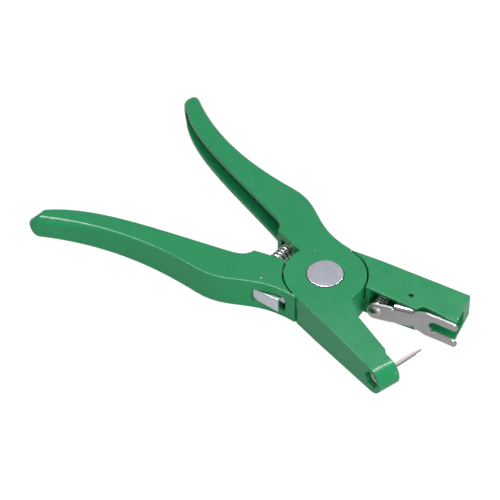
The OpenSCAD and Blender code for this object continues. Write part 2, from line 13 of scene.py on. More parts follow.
import bpy
import numpy as np
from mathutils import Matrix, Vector


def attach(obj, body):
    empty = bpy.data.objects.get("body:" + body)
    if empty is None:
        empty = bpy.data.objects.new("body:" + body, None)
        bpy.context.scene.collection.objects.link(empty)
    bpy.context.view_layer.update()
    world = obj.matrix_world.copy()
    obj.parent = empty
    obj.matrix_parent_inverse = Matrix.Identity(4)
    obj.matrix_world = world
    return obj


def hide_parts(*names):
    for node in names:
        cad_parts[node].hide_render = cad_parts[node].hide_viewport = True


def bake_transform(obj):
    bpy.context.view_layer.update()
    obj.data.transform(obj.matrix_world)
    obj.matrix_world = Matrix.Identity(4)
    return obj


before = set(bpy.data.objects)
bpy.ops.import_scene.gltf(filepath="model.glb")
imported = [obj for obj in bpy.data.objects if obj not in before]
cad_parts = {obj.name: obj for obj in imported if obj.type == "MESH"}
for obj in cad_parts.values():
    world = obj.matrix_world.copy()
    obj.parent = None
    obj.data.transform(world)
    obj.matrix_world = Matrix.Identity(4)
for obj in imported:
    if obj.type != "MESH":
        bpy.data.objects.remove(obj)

LOG = logging.getLogger("pliers")
MM = 0.001
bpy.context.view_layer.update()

BODY_T = 20.0 * MM
MID_Z = BODY_T / 2
JAW_ANGLE = math.radians(13.0)
# A turned profile stops this far from its axis, and a flat face closes it.
AXIS_R = 0.02 * MM
# Corners that are nearly straight aren't rounded, and edges over the sharp angle stay sharp.
STRAIGHT_HALF = math.radians(89.5)
SHARP_ANGLE = math.radians(28.0)

Colour = tuple[float, float, float]
Array = np.ndarray
Socket = bpy.types.NodeSocket


# Shapes

@dataclass
class Patch:
    """A closed or open surface as arrays: one row per point, and faces as index rows."""

    points: Array
    faces: list[Array]

    def moved(self, turn: Array, origin: Array) -> "Patch":
        """The patch with its points turned by a 3x3 matrix and then shifted.

        Args:
            turn: Matrix whose columns are the images of X, Y and Z.
            origin: Where the patch's own origin goes.

        Returns:
            A new patch.
        """
        return Patch(self.points @ turn.T + origin, self.faces)

    @staticmethod
    def joined(patches: Sequence["Patch"]) -> "Patch":
        """Several patches as one, with their points counted on.

        Args:
            patches: The patches, in order.

        Returns:
            One patch that holds all of them.
        """
        starts = np.cumsum([0] + [len(p.points) for p in patches])
        faces = [f + s for p, s in zip(patches, starts) for f in p.faces]
        return Patch(np.vstack([p.points for p in patches]), faces)

    def welded(self, step: float = 0.004 * MM) -> "Patch":
        """The patch with points that fall on one step of a fine grid made one.

        Args:
            step: Side of the grid's cells.

        Returns:
            A new patch, in which faces that shrank to a line are left out.
        """
        cells = np.round(self.points / step).astype(int)
        _, first, same = np.unique(cells, axis=0, return_index=True, return_inverse=True)
        faces = [same.ravel()[f] for f in self.faces]
        kept = [f[np.all(f != np.roll(f, 1, 1), axis=1)] for f in faces]
        return Patch(self.points[first], kept)


def grid_patch(points: Array, wrap: bool = False, capped: bool = False) -> Patch:
    """Quads over a grid of points, where each row is one section.

    Args:
        points: Array of rows x columns x 3.
        wrap: The last column joins the first one.
        capped: The first and the last row are each closed by one flat face.

    Returns:
        The patch.
    """
    rows, cols = points.shape[:2]
    index = np.arange(rows * cols).reshape(rows, cols)
    beside = np.roll(index, -1, 1) if wrap else index[:, 1:]
    here = index if wrap else index[:, :-1]
    quads = np.stack([here[:-1], beside[:-1], beside[1:], here[1:]], -1).reshape(-1, 4)
    faces: list[Array] = [quads]
    if capped:
        faces += [index[0][::-1][None], index[-1][None]]
    return Patch(points.reshape(-1, 3), faces)


def revolved(profile: Array, steps: int) -> Patch:
    """A profile of (radius, height) turned about Z: (r cos a, r sin a, h) for a over a full turn.

    Args:
        profile: Rows of radius and height, with the solid on the left of the line.
        steps: Points in a turn.

    Returns:
        The patch, with its first and last ring closed by a flat face.
    """
    turn = np.linspace(0, 2 * np.pi, steps, endpoint=False)
    ring = np.stack([np.cos(turn), np.sin(turn), np.zeros(steps)], -1)
    flat = profile[:, 0, None, None] * ring[None]
    flat[..., 2] = profile[:, 1, None]
    return grid_patch(flat, wrap=True, capped=True)


def rounded(corners: Sequence[tuple[float, float, float]], steps: int = 5) -> Array:
    """A flat line through corners, each one rounded by an arc that touches both of its sides.

    The arc of radius r at a corner with half angle h starts r / tan(h) from it along either side.

    Args:
        corners: Rows of x, y and radius. The two ends keep their points.
        steps: Points in each arc.

    Returns:
        Array of points x 2.
    """
    line = np.array(corners, float)
    out = [line[:1, :2]]
    for before, at, after in zip(line[:-2], line[1:-1], line[2:]):
        to_a, to_b = before[:2] - at[:2], after[:2] - at[:2]
        to_a, to_b = to_a / np.linalg.norm(to_a), to_b / np.linalg.norm(to_b)
        half = math.acos(float(np.clip(to_a @ to_b, -1, 1))) / 2
        if at[2] <= 0 or half > STRAIGHT_HALF:
            out.append(at[None, :2])
            continue
        reach = at[2] / math.tan(half)
        middle = at[:2] + (to_a + to_b) / np.linalg.norm(to_a + to_b) * at[2] / math.sin(half)
        start, stop = at[:2] + to_a * reach - middle, at[:2] + to_b * reach - middle
        side = np.sign(start[0] * stop[1] - start[1] * stop[0])
        a = np.linspace(0, math.pi - 2 * half, steps)[:, None] * side
        x, y = start
        out.append(middle + np.hstack([x * np.cos(a) - y * np.sin(a), x * np.sin(a) + y * np.cos(a)]))
    out.append(line[-1:, :2])
    return np.vstack(out)


def tube(path: Array, radius: float, sides: int) -> Patch:
    """A round wire along a coil about Z, with its section square to the coil at every point.

    The section's first axis points away from the coil's axis, less its part along the coil, so
    that it turns with the coil and never flips.

    Args:
        path: Array of points x 3.
        radius: Radius of the wire.
        sides: Points round the wire.

    Returns:
        The patch, closed at both ends.
    """
    along = np.gradient(path, axis=0)
    along /= np.linalg.norm(along, axis=1, keepdims=True)
    out = path - path.mean(0)
    out[:, 2] = 0
    out -= (out * along).sum(1, keepdims=True) * along
    out /= np.linalg.norm(out, axis=1, keepdims=True)
    over = np.cross(along, out)
    a = np.linspace(0, 2 * np.pi, sides, endpoint=False)
    ring = np.cos(a)[None, :, None] * out[:, None] + np.sin(a)[None, :, None] * over[:, None]
    return grid_patch(path[:, None] + radius * ring, wrap=True, capped=True)


def frame_along(way: Sequence[float], up: Sequence[float] = (0, 0, 1)) -> Array:
    """Matrix that turns Z to a direction and X as near to another as it can.

    Args:
        way: Where Z goes.
        up: Where X should point.

    Returns:
        3x3 matrix with the images of X, Y and Z as its columns.
    """
    z = np.array(way, float) / np.linalg.norm(way)
    x = np.array(up, float) - z * (np.array(up, float) @ z)
    x /= np.linalg.norm(x)
    return np.stack([x, np.cross(z, x), z], 1)


class Jaw(Enum):
    """The two jaws, each with its own axes: u along the jaw, v towards its back."""

    CLIP = 1.0
    PIN = -1.0

    def spot(self, u: float | Array, v: float | Array, z: float | Array = MID_Z) -> Array:
        """Points of the jaw's own axes in the part's frame: u and v turned by the jaw's angle.

        Args:
            u: Places along the jaw.
            v: Places towards its back.
            z: Heights.

        Returns:
            The points, in the shape to which the three spread.
        """
        u, v, z = np.broadcast_arrays(u, v, z)
        c, s = math.cos(JAW_ANGLE), math.sin(JAW_ANGLE)
        return np.stack([u * c - v * s, self.value * (u * s + v * c), z], -1)

    def way(self, u: float, v: float) -> Array:
        """Direction of the jaw's own u and v in the part's frame."""
        return self.spot(u, v, 0.0)


# Finishes

class Tree:
    """A material under construction: one Principled surface fed by Object coordinates."""

    def __init__(self, name: str) -> None:
        """Starts a new material.

        Args:
            name: The material's name.
        """
        self.material = bpy.data.materials.new(name)
        self.material.use_nodes = True
        self.nodes = self.material.node_tree.nodes
        self.links = self.material.node_tree.links
        self.surface = self.nodes["Principled BSDF"]
        self.coords = self.nodes.new("ShaderNodeTexCoord").outputs["Object"]

    def add(self, kind: str, **values: object) -> bpy.types.Node:
        """A new node, with sockets set or joined by name.

        Args:
            kind: Blender's name of the node type.
            values: Socket names, with _ for a blank. A socket as value is joined, others are set.

        Returns:
            The node.
        """
        node = self.nodes.new(kind)
        for key, value in values.items():
            self.feed(node, key.replace("_", " "), value)
        return node

    def feed(self, node: bpy.types.Node, socket: str, value: object) -> None:
        """Joins or sets one input socket of a node.

        Args:
            node: The node.
            socket: The input's name.
            value: A socket, which is joined, or a value, which is set.
        """
        if isinstance(value, Socket):
            self.links.new(value, node.inputs[socket])
        else:
            node.inputs[socket].default_value = value

    def paired(self, kind: str, operation: str, first: Socket, second: Socket) -> bpy.types.Node:
        """A new math node that works on two values.

        Args:
            kind: Blender's name of the node type.
            operation: Blender's name of what the node does.
            first: The first value.
            second: The second value.

        Returns:
            The node.
        """
        node = self.nodes.new(kind)
        node.operation = operation
        self.links.new(first, node.inputs[0])
        self.links.new(second, node.inputs[1])
        return node

    def noise(self, size: float, detail: float, stretch: Sequence[float] = (1, 1, 1),
              turn: float = 0.0) -> Socket:
        """Soft noise whose bumps are about one size across.

        Args:
            size: Size of a bump in metres.
            detail: Octaves of finer noise.
            stretch: Factors on the size along X, Y and Z.
            turn: Turn of the pattern about Z, in radians.

        Returns:
            The noise's value.
        """
        place = self.add("ShaderNodeMapping", Vector=self.coords, Rotation=(0, 0, turn),
                         Scale=tuple(1 / (size * s) for s in stretch))
        node = self.add("ShaderNodeTexNoise", Vector=place.outputs[0], Scale=1.0, Detail=detail)
        return node.outputs["Fac"]

    def ramp(self, value: Socket, *stops: tuple[float, Sequence[float]]) -> Socket:
        """Colours laid along a value.

        Args:
            value: The value.
            stops: Positions from 0 to 1, each with its colour.

        Returns:
            The colour.
        """
        node = self.add("ShaderNodeValToRGB", Fac=value)
        bar = node.color_ramp.elements
        while len(bar) < len(stops):
            bar.new(0.5)
        for knob, (at, colour) in zip(bar, stops):
            knob.position = at
            knob.color = (*colour, 1.0)
        return node.outputs["Color"]

    def level(self, value: Socket, low: float, high: float, start: float = 0.0, stop: float = 1.0) -> Socket:
        """A value between start and stop spread over low to high."""
        node = self.add("ShaderNodeMapRange", Value=value, From_Min=start, From_Max=stop,
                        To_Min=low, To_Max=high)
        return node.outputs["Result"]

    def blend(self, share: Socket, first: Socket, second: Colour) -> Socket:
        """A colour mixed into another one.

        Args:
            share: How much of the second colour there is.
            first: The first colour.
            second: The second colour.

        Returns:
            The mixed colour.
        """
        node = self.nodes.new("ShaderNodeMix")
        node.data_type = "RGBA"
        factor, under, over = node.inputs["Factor"], node.inputs[6], node.inputs[7]
        self.links.new(share, factor)
        self.links.new(first, under)
        over.default_value = (*second, 1.0)
        return node.outputs[2]

    def near(self, spot: Sequence[float], radius: float, core: float = 0.35) -> Socket:
        """Share that is 1 about a spot and falls to 0 at a radius from it.

        Args:
            spot: The spot.
            radius: Where the share is 0.
            core: Part of the radius within which it is 1.

        Returns:
            The share.
        """
        gap = self.add("ShaderNodeVectorMath")
        gap.operation = "DISTANCE"
        self.links.new(self.coords, gap.inputs[0])
        gap.inputs[1].default_value = tuple(spot)
        return self.level(gap.outputs["Value"], 1.0, 0.0, radius * core, radius)

    def rounding(self, radius: float) -> tuple[Socket, Socket]:
        """The normal with edges rounded, and how far the rounding turns it.

        The share follows the dot product of the rounded and the plain normal.

        Args:
            radius: Radius of the rounding.

        Returns:
            The normal, and a share that is 0 on the faces and 1 along the edges.
        """
        turned, plain = 0.78, 0.97
        rim = self.add("ShaderNodeBevel", Radius=radius)
        rim.samples = 8
        normal = rim.outputs["Normal"]
        face = self.add("ShaderNodeNewGeometry").outputs["Normal"]
        match = self.paired("ShaderNodeVectorMath", "DOT_PRODUCT", normal, face)
        return normal, self.level(match.outputs["Value"], 1.0, 0.0, turned, plain)

    def bump(self, *layers: tuple[Socket, float], start: Socket | None = None) -> None:
        """Puts height layers on the surface's normal.

        Args:
            layers: Heights, each with its depth in metres.
            start: The normal that they start from, or none for the mesh's own.
        """
        normal = start
        for height, depth in layers:
            node = self.add("ShaderNodeBump", Height=height, Strength=1.0, Distance=depth)
            if normal is not None:
                self.links.new(normal, node.inputs["Normal"])
            normal = node.outputs["Normal"]
        self.links.new(normal, self.surface.inputs["Normal"])


@dataclass(frozen=True)
class Paint:
    """Satin paint sprayed on a casting: a fine orange peel, faint clouds of colour and pale dust."""

    name: str
    colour: Colour
    roughness: float = 0.21
    shine: float = 0.36
    cloud: float = 9 * MM
    cloud_share: float = 0.03
    peel: float = 0.8 * MM
    peel_depth: float = 0.075 * MM
    dust: float = 0.45 * MM
    dust_share: float = 0.16
    edge: float = 0.45 * MM
    fleck: float = 0.7 * MM
    # Share of pale flecks on the edges: partly rubbed paint, partly a painted highlight.
    wear_and_highlight: float = 0.55
    fade: float = 0.8
    dusty: Colour = (0.09, 0.09, 0.09)
    # Added to the faded base for the pale edge flecks: rubbed paint and painted highlight.
    rubbed_and_highlight: Colour = (0.12, 0.17, 0.13)
    scuff: Colour = (0.36, 0.30, 0.17)
    scuff_share: float = 0.75
    marks: tuple[tuple[float, float, float, float], ...] = ()

    def material(self) -> bpy.types.Material:
        """Builds the paint.

        Returns:
            The material. Its colour is a little darker and lighter on the clouds and paler on the
            dust, with beige scuffs at the marks. Edges look rounded, and are painted pale in flecks
            where the rounding turns the normal: partly rubbed paint and partly a painted highlight
            along the edges.
        """
        tree = Tree(self.name)
        base = np.array(self.colour)
        clouds = tree.noise(self.cloud, 3.0)
        dark, light = base * (1 - self.cloud_share), base * (1 + self.cloud_share)
        shade = tree.ramp(clouds, (0.3, tuple(dark)), (0.55, tuple(base)), (0.75, tuple(light)))
        specks = tree.level(tree.noise(self.dust, 2.0), 0.0, self.dust_share, 0.56, 0.8)
        shade = tree.blend(specks, shade, tuple(base * self.fade + np.array(self.dusty)))
        turned, on_edge = tree.rounding(self.edge)
        # Pale flecks along convex and hollow edges alike: partly rubbed paint, partly a painted highlight.
        flecks = tree.level(tree.noise(self.fleck, 3.0), 0.15 * self.wear_and_highlight, self.wear_and_highlight, 0.38, 0.62)
        worn_and_highlight = tree.paired("ShaderNodeMath", "MULTIPLY", flecks, on_edge).outputs[0]
        shade = tree.blend(worn_and_highlight, shade, tuple(base * self.fade + np.array(self.rubbed_and_highlight)))
        for x, y, z, radius in self.marks:
            share = tree.level(tree.near((x, y, z), radius), 0.0, self.scuff_share)
            shade = tree.blend(share, shade, self.scuff)
        tree.feed(tree.surface, "Base Color", shade)
        rough = tree.level(clouds, self.roughness - 0.02, self.roughness + 0.03, 0.3, 0.7)
        tree.feed(tree.surface, "Roughness", rough)
        tree.feed(tree.surface, "Specular IOR Level", self.shine)
        peel = tree.noise(self.peel, 2.0)
        fine = tree.noise(self.peel * 0.35, 1.0)
        tree.bump((peel, self.peel_depth), (fine, self.peel_depth * 0.25), start=turned)
        return tree.material


@dataclass(frozen=True)
class Steel:
    """Bare or plated steel: satin, with grinding lines one way and soft stains."""

    name: str
    colour: Colour
    roughness: float
    grain: tuple[float, float, float] = (1.0, 1.0, 1.0)
    grain_size: float = 0.5 * MM
    grain_depth: float = 0.004 * MM
    grain_turn: float = 0.0
    stain: float = 0.06
    stain_size: float = 3.2 * MM
    edge: float = 0.0

    def material(self) -> bpy.types.Material:
        """Builds the steel.

        Returns:
            The material. Colour and roughness follow the stains, and the normal follows noise that
            is stretched along the grain. Edges look rounded if the steel has an edge.
        """
        tree = Tree(self.name)
        base = np.array(self.colour)
        stains = tree.noise(self.stain_size, 4.0)
        dark, light = base * (1 - self.stain), np.minimum(base * (1 + self.stain), 1)
        tree.feed(tree.surface, "Base Color", tree.ramp(stains, (0.3, tuple(dark)), (0.7, tuple(light))))
        spread = self.stain / 2
        rough = tree.level(stains, self.roughness - spread, self.roughness + spread, 0.3, 0.7)
        tree.feed(tree.surface, "Roughness", rough)
        tree.feed(tree.surface, "Metallic", 1.0)
        grain = tree.noise(self.grain_size, 3.0, self.grain, self.grain_turn)
        tree.bump((grain, self.grain_depth), start=tree.rounding(self.edge)[0] if self.edge > 0 else None)
        return tree.material


GREEN: Colour = (0.017, 0.290, 0.108)
HUB_SCUFF = (-15.87 * MM, 10.62 * MM, 20.0 * MM, 0.85 * MM)
NOSE_SCUFF = (72.0 * MM, -29.05 * MM, 14.03 * MM, 0.9 * MM)
GREEN_PAINT = Paint("green_paint", GREEN)
MARKED_PAINT = Paint("green_paint_marked", GREEN, marks=(HUB_SCUFF, NOSE_SCUFF))
CAP_STEEL = Steel("cap_steel", (0.54, 0.55, 0.62), 0.23, stain=0.02,
                  grain_size=0.6 * MM, grain_depth=0.0004 * MM)
CLIP_STEEL = Steel("clip_steel", (0.57, 0.558, 0.565), 0.30, grain=(6, 6, 0.6), grain_size=0.25 * MM,
                   grain_depth=0.0015 * MM, grain_turn=JAW_ANGLE)
LATCH_STEEL = Steel("latch_steel", (0.80, 0.85, 0.90), 0.30, grain=(8, 8, 0.6), grain_size=0.22 * MM,
                    grain_depth=0.0012 * MM, edge=0.45 * MM)
PIN_STEEL = Steel("pin_steel", (0.45, 0.42, 0.41), 0.85, grain_size=0.2 * MM, grain_depth=0.0005 * MM)
NUT_STEEL = Steel("nut_steel", (0.82, 0.80, 0.84), 0.36)
RIVET_STEEL = Steel("rivet_steel", (0.64, 0.63, 0.61), 0.34, grain_size=0.3 * MM, grain_depth=0.002 * MM)
# Near black: painted shade, so that the hinge pin's ends, sunk in their holes, read dark.
HINGE_SHADE_STEEL = Steel("hinge_painted_shade", (0.012, 0.012, 0.013), 0.70, grain_size=0.3 * MM)
SPRING_WIRE = Steel("spring_wire", (0.60, 0.605, 0.61), 0.20, grain_size=0.3 * MM, grain_depth=0.002 * MM)


# Pieces

@dataclass(frozen=True)
class Place:
    """Where a piece belongs: its body, its slot and the CAD node that it stands for.

    A piece between two bodies also names the other one, and the points where it leaves the first
    and meets the other.
    """

    body: str
    slot: str
    node: str
    other: str = ""
    start: tuple[float, ...] = ()
    stop: tuple[float, ...] = ()


MATERIALS: dict[str, bpy.types.Material] = {}


def material_of(finish: Paint | Steel) -> bpy.types.Material:
    """The finish's material, built once.

    Args:
        finish: The finish.

    Returns:
        Its material.
    """
    if finish.name not in MATERIALS:
        MATERIALS[finish.name] = finish.material()
    return MATERIALS[finish.name]


def add_piece(name: str, patch: Patch, finish: Paint | Steel, place: Place) -> bpy.types.Object:
    """Makes a smooth-shaded object of a patch, and puts it on its body, or leaves it in the part's frame if
    it lies between two bodies.

    Args:
        name: The piece's name.
        patch: Its surface, in the part's frame.
        finish: Its finish.
        place: Its body and CAD node, and the other body for a piece between two.

    Returns:
        The object.
    """
    mesh = bpy.data.meshes.new(name)
    mesh.from_pydata(patch.points.tolist(), [], [row for f in patch.faces for row in f.tolist()])
    mesh.polygons.foreach_set("use_smooth", np.ones(len(mesh.polygons), bool))
    mesh.update()
    obj = bpy.data.objects.new(name, mesh)
    bpy.context.scene.collection.objects.link(obj)
    mesh.materials.append(material_of(finish))
    if place.other:
        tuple(place.start)
        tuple(place.stop)
        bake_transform(obj)
    else:
        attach(obj, place.body)
    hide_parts(place.node)
    LOG.info("%s: %d points", name, len(patch.points))
    return obj


def even(obj: bpy.types.Object, weight: int = 60) -> None:
    """Evens a piece's shading.

    Args:
        obj: The piece.
        weight: How far wide faces lead their neighbours' normals.
    """
    shade = obj.modifiers.new("shading", "WEIGHTED_NORMAL")
    shade.keep_sharp = True
    shade.weight = weight


def soften(obj: bpy.types.Object, width: float, angle: float, segments: int = 3) -> None:
    """Rounds a piece's sharp edges, less where two are close, and evens its shading.

    Args:
        obj: The piece.
        width: Width of the rounding.
        angle: Least angle of an edge that is rounded.
        segments: Faces across the rounding.
    """
    bevel = obj.modifiers.new("edges", "BEVEL")
    bevel.width = width
    bevel.segments = segments
    bevel.limit_method = "ANGLE"
    bevel.angle_limit = angle
    bevel.use_clamp_overlap = True
    even(obj)


def cad_patch(node: str) -> Patch:
    """A CAD node's surface with its doubled points merged.

    Args:
        node: The node's name.

    Returns:
        The patch.
    """
    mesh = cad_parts[node].data
    points = np.empty(len(mesh.vertices) * 3)
    mesh.vertices.foreach_get("co", points)
    mesh.calc_loop_triangles()
    tris = np.empty(len(mesh.loop_triangles) * 3, int)
    mesh.loop_triangles.foreach_get("vertices", tris)
    return Patch(points.reshape(-1, 3), [tris.reshape(-1, 3)]).welded()


def add_cast(name: str, finish: Paint | Steel, place: Place) -> None:
    """A CAD node's form as a piece of its own, smooth between its sharp edges.

    Args:
        name: The piece's name.
        finish: Its finish.
        place: Its body and CAD node.
    """
    obj = add_piece(name, cad_patch(place.node), finish, place)
    obj.data.set_sharp_from_angle(angle=SHARP_ANGLE)
    even(obj)


@dataclass
class Lever:
    """One die-cast lever: its CAD form, painted all over."""

    name: str
    node: str
    body: str
    finish: Paint

    def build(self) -> None:
        """Merges the CAD surface and paints it."""
        add_cast(self.name, self.finish, Place(self.body, "green_paint", self.node))


@dataclass
class Pivot:
    """The pivot: a barrel with a flat head above, and a screw with a washer below."""

    head_r: float = 10.25 * MM
    head_t: float = 2.6 * MM
    head_top: float = 20.4 * MM
    head_edge: float = 0.35 * MM
    under_edge: float = 0.25 * MM
    barrel_r: float = 6.0 * MM
    barrel_bottom: float = 3.4 * MM
    barrel_edge: float = 0.3 * MM
    bore_r: float = 3.05 * MM
    bore_top: float = 15.8 * MM
    bore_edge: float = 0.2 * MM

    def build(self) -> None:
        """Turns the barrel's profile, with the screw's bore, and dresses the screw and washer."""
        under = self.head_top - self.head_t
        line = rounded([
            (AXIS_R, self.bore_top, 0),
            (self.bore_r, self.bore_top, self.bore_edge),
            (self.bore_r, self.barrel_bottom, self.bore_edge),
            (self.barrel_r, self.barrel_bottom, self.barrel_edge),
            (self.barrel_r, under, 0),
            (self.head_r, under, self.under_edge),
            (self.head_r, self.head_top, self.head_edge),
            (AXIS_R, self.head_top, 0),
        ])
        place = Place("clip_side", "pivot_steel", "pivot_barrel")
        even(add_piece("pivot_barrel_head", revolved(line, 128), CAP_STEEL, place), 80)
        for node in ("pivot_screw", "pivot_washer"):
            add_cast(node + "_turned", CAP_STEEL, Place("clip_side", "pivot_steel", node))


@dataclass
class CoilSpring:
    """A compression spring of round wire with closed ends, one on each of two bodies."""

    name: str
    node: str
    start: Array
    way: Array
    length: float
    radius: float
    wire: float
    turns: int
    body: str
    other: str
    closed_turns: float = 0.9
    closed_pitch: float = 0.42
    steps: int = 28
    sides: int = 14

    def build(self) -> None:
        """Carries the wire along (r cos a, r sin a, h(a)).

        The height h climbs slowly over the first and last turn, which lie nearly closed, and at
        the full pitch between them.
        """
        a = np.linspace(0, 1, self.turns * self.steps + 1)
        closed = self.closed_turns / self.turns
        ease = np.interp(a, [0, closed, 1 - closed, 1], [0.0, 1.0, 1.0, 0.0])
        pitch = self.closed_pitch + (1 - self.closed_pitch) * ease * ease * (3 - 2 * ease)
        climb = np.concatenate([[0], np.cumsum((pitch[1:] + pitch[:-1]) / 2)])
        climb /= climb[-1]
        height = self.wire / 2 + climb * (self.length - self.wire)
        angle = 2 * np.pi * self.turns * a
        path = np.stack([self.radius * np.cos(angle), self.radius * np.sin(angle), height], -1)
        patch = tube(path, self.wire / 2, self.sides).moved(frame_along(self.way), self.start)
        stop = self.start + self.way * self.length
        place = Place(self.body, "spring_wire", self.node, self.other, tuple(self.start), tuple(stop))
        add_piece(self.name, patch, SPRING_WIRE, place)


@dataclass
class ReturnSpring:
    """The spring that opens the handles, square to the middle line between them."""

    x: float = -34.0 * MM
    seat_y: float = 21.95 * MM
    coil_r: float = 3.3 * MM
    wire: float = 1.6 * MM
    turns: int = 17

    def build(self) -> None:
        """Winds the spring from seat to seat."""
        start = np.array([self.x, -self.seat_y, MID_Z])
        CoilSpring("return_spring", "main_spring", start, np.array([0, 1.0, 0]), 2 * self.seat_y,
                   self.coil_r, self.wire, self.turns, "clip_side", "pin_side").build()


@dataclass
class Latch:
    """The latch on the clip lever's handle, with its cross pin and spring."""

    pin_x: float = -25.5 * MM
    pin_y: float = -24.4 * MM
    pin_r: float = 1.1 * MM
    pin_low: float = 0.55 * MM
    pin_high: float = 19.45 * MM
    pin_round: float = 0.9 * MM
    spring_x: float = -17.0 * MM
    spring_y: float = -18.80 * MM
    spring_len: float = 5.34 * MM
    coil_r: float = 1.3 * MM
    wire: float = 0.4 * MM
    turns: int = 5

    def build(self) -> None:
        """Dresses the latch, turns its pin with domed ends and winds the spring."""
        add_cast("latch_thumb_lever", LATCH_STEEL, Place("latch", "latch_steel", "latch_lever"))
        line = rounded([
            (AXIS_R, self.pin_low, 0),
            (self.pin_r, self.pin_low, self.pin_round),
            (self.pin_r, self.pin_high, self.pin_round),
            (AXIS_R, self.pin_high, 0),
        ])
        pin = revolved(line, 32).moved(np.eye(3), np.array([self.pin_x, self.pin_y, 0]))
        add_piece("latch_cross_pin", pin, PIN_STEEL, Place("clip_side", "pin_steel", "latch_pin"))
        start = np.array([self.spring_x, self.spring_y, MID_Z])
        CoilSpring("latch_coil", "latch_spring", start, np.array([0, -1.0, 0]), self.spring_len,
                   self.coil_r, self.wire, self.turns, "clip_side", "latch").build()


@dataclass
class Clip:
    """The sprung fork clip on its jaw: bent sheet with rolled ears, hinge pin, rivet and spring.

    All places are in the clip jaw's own u (along the jaw) and v (towards its back).
    """

    sheet_t: float = 1.2 * MM
    edge: float = 0.2 * MM
    edge_angle: float = math.radians(50.0)
    rear_u: float = 28.4 * MM
    rear_v: float = -5.4 * MM
    bend_u: float = 57.0 * MM
    bend_v: float = -0.8 * MM
    bend_r: float = 9.0 * MM
    slot_u: float = 67.0 * MM
    reach_u: float = 69.5 * MM
    reach_v: float = -1.4 * MM
    reach_r: float = 30.0 * MM
    tip_u: float = 80.5 * MM
    tip_v: float = -2.3 * MM
    rear_h: float = 10.9 * MM
    rear_round: float = 4.6 * MM
    ear_h: float = 13.1 * MM
    ear_len: float = 11.0 * MM
    ear_roll: float = 2.2 * MM
    ear_end: float = 3.6 * MM
    relief: float = 0.7 * MM
    neck_len: float = 2.0 * MM
    neck_cut: float = 0.3 * MM
    fork_h: float = 16.6 * MM
    fork_u: float = 61.4 * MM
    slot_h: float = 7.4 * MM
    hinge_u: float = 48.4 * MM
    hinge_v: float = 7.8 * MM
    hinge_r: float = 1.45 * MM
    hinge_hole_r: float = 1.5 * MM
    hinge_low: float = 2.0 * MM
    hinge_edge: float = 0.3 * MM
    rivet_u: float = 32.8 * MM
    rivet_r: float = 1.7 * MM
    dome_r: float = 4.0 * MM
    dome_h: float = 2.2 * MM
    dome_foot_r: float = 3.88 * MM
    dome_foot_h: float = 0.12 * MM
    tail: float = 3.0 * MM
    tail_end_r: float = 1.445 * MM
    tail_cut: float = 0.3 * MM
    coil_r: float = 3.0 * MM
    coil_gap: float = 0.6 * MM
    wire: float = 0.8 * MM
    turns: int = 9
    hollow_v: float = 14.05 * MM

    def ears(self) -> tuple[float, float]:
        """Where the ears start and end along u."""
        return self.hinge_u - self.ear_len / 2, self.hinge_u + self.ear_len / 2

    def prong_r(self) -> float:
        """Radius of the round end of a prong, which is half as wide as the prong."""
        return (self.fork_h - self.slot_h) / 4

    def front(self, u: float | Array) -> float | Array:
        """The v of the sheet's front face: three straight runs with wide round bends between.

        Args:
            u: Places along the jaw.

        Returns:
            The front face's v at each.
        """
        line = rounded([
            (self.rear_u, self.rear_v, 0),
            (self.bend_u, self.bend_v, self.bend_r),
            (self.reach_u, self.reach_v, self.reach_r),
            (self.tip_u, self.tip_v, 0),
        ], 9)
        return np.interp(u, line[:, 0], line[:, 1])

    def prong_cut(self, u: Array) -> Array:
        """What the round prong ends take off either side of a prong: r - sqrt(r^2 - past^2).

        Args:
            u: Places along the jaw.

        Returns:
            The cut at each.
        """
        r = self.prong_r()
        past = np.clip(u - (self.tip_u - r), 0, r)
        return r - np.sqrt(r * r - past * past)

    def half_height(self, u: Array) -> Array:
        """Half the sheet's height over u.

        A round rear, straight to the ears, cut back by the roll along them and at the reliefs
        beside them, then widening to the fork, whose prongs end in half circles.

        Args:
            u: Places along the jaw.

        Returns:
            Half the height at each.
        """
        half = np.full_like(u, self.rear_h / 2)
        r = self.rear_round
        into = np.clip(self.rear_u + r - u, 0, r)
        half -= r - np.sqrt(r * r - into * into)
        low, high = self.ears()
        by_ear = (u > low - self.relief) & (u < high + self.relief)
        half = np.where(by_ear, self.ear_h / 2 - self.ear_roll, half)
        after = np.interp(u, [high + self.relief, high + self.neck_len, self.fork_u, self.tip_u],
                          [self.ear_h / 2 - self.neck_cut, self.ear_h / 2, self.fork_h / 2, self.fork_h / 2])
        half = np.where(u >= high + self.relief, after, half)
        return half - self.prong_cut(u)

    def slot_half(self, u: Array) -> Array:
        """Half the slot's height over u: a half circle at its root, straight, and round prong ends.

        Args:
            u: Places along the jaw.

        Returns:
            Half the slot's height at each.
        """
        r = self.slot_h / 2
        half = np.sqrt(np.clip(r * r - np.clip(self.slot_u - u, 0, r) ** 2, 0, None))
        return half + self.prong_cut(u)

    def stations(self) -> Array:
        """Places along u: close together at the rear, the reliefs, the slot's root and the tips.

        Returns:
            The places, in order.
        """
        low, high = self.ears()
        r, prong = self.slot_h / 2, self.prong_r()
        turn = np.linspace(0, np.pi / 2, 15)
        end_turn = np.linspace(0, np.pi / 2 - 0.05, 14)
        tiny = 0.1 * MM
        runs = [
            self.rear_u + self.rear_round * (1 - np.cos(turn)),
            np.linspace(self.rear_u + self.rear_round, low - self.relief, 16),
            np.array([low - self.relief + tiny, low]),
            np.linspace(low, high, 13),
            np.array([high, high + self.relief - tiny]),
            np.linspace(high + self.relief, self.slot_u - r, 16),
            self.slot_u - r * np.cos(turn),
            np.linspace(self.slot_u, self.tip_u - prong, 14),
            self.tip_u - prong + prong * np.sin(end_turn),
        ]
        return np.unique(np.round(np.concatenate(runs), 8))

